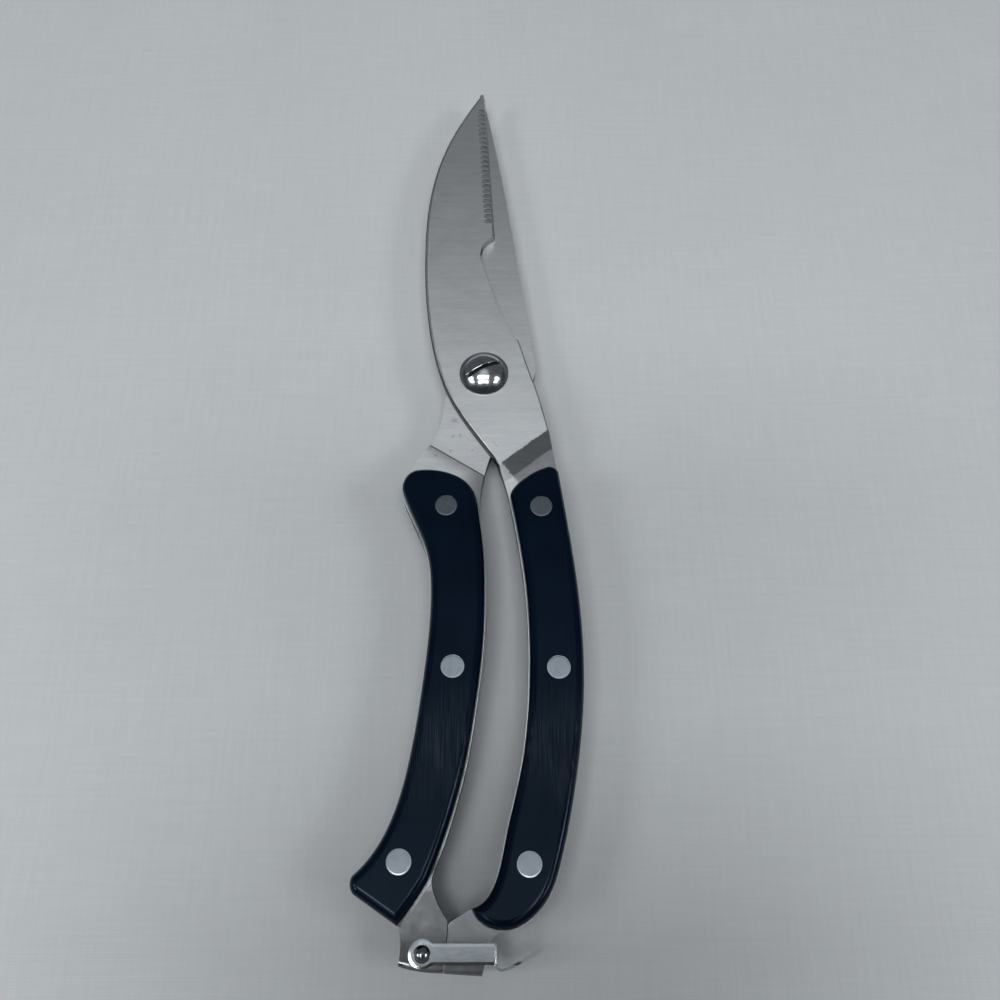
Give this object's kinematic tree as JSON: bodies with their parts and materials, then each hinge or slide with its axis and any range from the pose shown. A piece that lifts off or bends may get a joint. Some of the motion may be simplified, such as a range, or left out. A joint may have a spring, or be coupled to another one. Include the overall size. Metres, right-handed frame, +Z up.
{
  "type": "poultry shears",
  "caption": "Poultry shears with a curved, serrated upper blade and bone notch, domed slotted pivot screw, riveted dark scales on bowed handles, and a swinging latch loop at their ends.",
  "frame": {"origin": "bottom centre of the bounding box, on the table under the closed, latched shears", "axes": "+Y from the handle ends to the blade tips, +X to the side of the handle that belongs to the serrated blade, +Z up along the pivot screw towards its domed head"},
  "size_m": [0.0535, 0.2537, 0.014],
  "materials": {
    "blade_steel": "cross-brushed",
    "handle_plastic": "satin",
    "rivet_steel": "flat ground",
    "polished_steel": "polished",
    "plain_steel": "plain",
    "spring_steel": "drawn wire",
    "latch_steel": "bright, scratched"
  },
  "bodies": {
    "lower_half": {"lower_blade": "blade_steel", "left_top_scale": "handle_plastic", "left_bottom_scale": "handle_plastic", "left_rivet_1_stud": "rivet_steel", "left_rivet_1_socket": "rivet_steel", "left_rivet_2_stud": "rivet_steel", "left_rivet_2_socket": "rivet_steel", "left_rivet_3_stud": "rivet_steel", "left_rivet_3_socket": "rivet_steel", "pivot_screw": "polished_steel", "pivot_nut": "plain_steel", "pivot_washer": "plain_steel", "pivot_spring": "spring_steel", "latch_rivet": "polished_steel"},
    "upper_half": {"upper_blade": "blade_steel", "right_top_scale": "handle_plastic", "right_bottom_scale": "handle_plastic", "right_rivet_1_stud": "rivet_steel", "right_rivet_1_socket": "rivet_steel", "right_rivet_2_stud": "rivet_steel", "right_rivet_2_socket": "rivet_steel", "right_rivet_3_stud": "rivet_steel", "right_rivet_3_socket": "rivet_steel"},
    "latch": {"latch_loop": "latch_steel"}
  },
  "joints": [
    {"name": "blade_pivot", "type": "hinge", "parent": "lower_half", "child": "upper_half", "pos_m": [0.00205, 0.02305, 0.007], "axis": [0, 0, 1], "range_deg": [0, 45], "deforming": ["pivot_spring"]},
    {"name": "latch_pivot", "type": "hinge", "parent": "lower_half", "child": "latch", "pos_m": [-0.01045, -0.12245, 0.007], "axis": [0, 0, 1], "range_deg": [-170, 0]}
  ]
}
